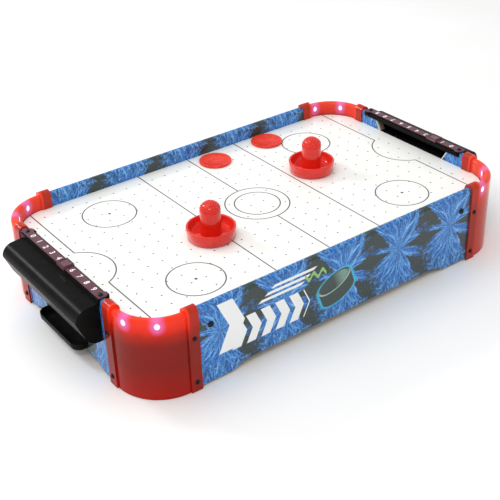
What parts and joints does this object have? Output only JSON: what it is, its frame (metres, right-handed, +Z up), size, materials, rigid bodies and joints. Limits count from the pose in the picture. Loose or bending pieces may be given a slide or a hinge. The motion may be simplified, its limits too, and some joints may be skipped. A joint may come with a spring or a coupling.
{
  "type": "air hockey table",
  "caption": "Tabletop air hockey table with a perforated playing surface, translucent rounded corners, goals with puck trays, score sliders, a fan, pushers and pucks.",
  "frame": {"origin": "centre of the footprint, on the surface the table stands on", "axes": "+Z up, X along the table from the left goal to the right goal, -Y towards the long side that faces the viewer"},
  "size_m": [0.567, 0.3194, 0.1217],
  "materials": {
    "playfield_lacquer": "gloss",
    "printed_board": "printed film, gloss",
    "printed_board_end": "printed film, gloss",
    "batten_wood": "sawn",
    "base_hardboard": "raw hardboard",
    "fan_plastic": "moulded",
    "grille_plastic": "moulded",
    "motor_steel": "plated",
    "shaft_steel": "ground",
    "impeller_plastic": "moulded",
    "battery_box_plastic": "moulded",
    "battery_door_plastic": "moulded",
    "cell_sleeve": "printed sleeve",
    "contact_nickel": "nickel plated",
    "switch_plastic": "moulded",
    "switch_knob_plastic": "moulded",
    "lead_insulation": "soft",
    "lead_insulation_red": "soft",
    "black_screw": "black oxide",
    "zinc_screw": "zinc plated",
    "goal_plastic": "gloss",
    "tray_plastic": "gloss",
    "score_strip_plastic": "satin",
    "slider_plastic": "translucent gloss",
    "pusher_plastic": "gloss",
    "pusher_felt": "felt",
    "puck_plastic": "gloss",
    "corner_plastic": "translucent gloss",
    "led_board_laminate": "solder mask",
    "led_epoxy": "clear"
  },
  "bodies": {
    "table": {"base_panel": "base_hardboard", "base_screws": "zinc_screw", "batten_back": "batten_wood", "batten_front": "batten_wood", "batten_left": "batten_wood", "batten_right": "batten_wood", "battery_box": "battery_box_plastic", "battery_cells": "cell_sleeve", "battery_contacts": "contact_nickel", "corner_screws": "black_screw", "corner_shell_back_left": "corner_plastic", "corner_shell_back_right": "corner_plastic", "corner_shell_front_left": "corner_plastic", "corner_shell_front_right": "corner_plastic", "end_board_left": "printed_board_end", "end_board_right": "printed_board_end", "fan_grille": "grille_plastic", "fan_housing": "fan_plastic", "fan_motor": "motor_steel", "goal_housing_left": "goal_plastic", "goal_housing_right": "goal_plastic", "led_board_back_left": "led_board_laminate", "led_board_back_right": "led_board_laminate", "led_board_front_left": "led_board_laminate", "led_board_front_right": "led_board_laminate", "led_lamps_back_left": "led_epoxy", "led_lamps_back_right": "led_epoxy", "led_lamps_front_left": "led_epoxy", "led_lamps_front_right": "led_epoxy", "led_wiring": "lead_insulation", "panel_screws": "black_screw", "playfield_board": "playfield_lacquer", "power_wiring": "lead_insulation_red", "puck_tray_left": "tray_plastic", "puck_tray_right": "tray_plastic", "score_strip_left": "score_strip_plastic", "score_strip_right": "score_strip_plastic", "side_board_back": "printed_board", "side_board_front": "printed_board", "strip_screws": "black_screw", "switch_body": "switch_plastic", "tray_screws": "black_screw"},
    "fan_rotor": {"fan_impeller": "impeller_plastic", "fan_shaft": "shaft_steel"},
    "battery_door": {"battery_door": "battery_door_plastic"},
    "switch_knob": {"switch_knob": "switch_knob_plastic"},
    "score_slider_left": {"score_slider_left": "slider_plastic"},
    "pusher_left": {"pusher_left": "pusher_plastic", "pusher_felt_left": "pusher_felt"},
    "puck_left": {"puck_left": "puck_plastic"},
    "score_slider_right": {"score_slider_right": "slider_plastic"},
    "pusher_right": {"pusher_right": "pusher_plastic", "pusher_felt_right": "pusher_felt"},
    "puck_right": {"puck_right": "puck_plastic"}
  },
  "joints": [
    {"name": "fan_spin", "type": "hinge", "parent": "table", "child": "fan_rotor", "pos_m": [0, 0, 0.04], "axis": [0, 0, 1], "continuous": true},
    {"name": "battery_door_lift_off", "type": "slide", "parent": "table", "child": "battery_door", "axis": [0, 0, -1], "range_m": [0, 0.027]},
    {"name": "switch_knob_slide", "type": "slide", "parent": "table", "child": "switch_knob", "axis": [1, 0, 0], "range_m": [0, 0.005]},
    {"name": "score_left", "type": "slide", "parent": "table", "child": "score_slider_left", "axis": [0, -1, 0], "range_m": [-0.0735, 0.0588]},
    {"name": "score_right", "type": "slide", "parent": "table", "child": "score_slider_right", "axis": [0, 1, 0], "range_m": [-0.0294, 0.1029]},
    {"name": "pusher_left_slide", "type": "slide", "parent": "table", "child": "pusher_left", "axis": [1, 0, 0], "range_m": [-0.1308, 0.0542]},
    {"name": "pusher_right_slide", "type": "slide", "parent": "table", "child": "pusher_right", "axis": [1, 0, 0], "range_m": [-0.072, 0.113]},
    {"name": "puck_left_slide", "type": "slide", "parent": "table", "child": "puck_left", "axis": [1, 0, 0], "range_m": [-0.19, 0.016]},
    {"name": "puck_right_slide", "type": "slide", "parent": "table", "child": "puck_right", "axis": [1, 0, 0], "range_m": [-0.016, 0.06]}
  ]
}
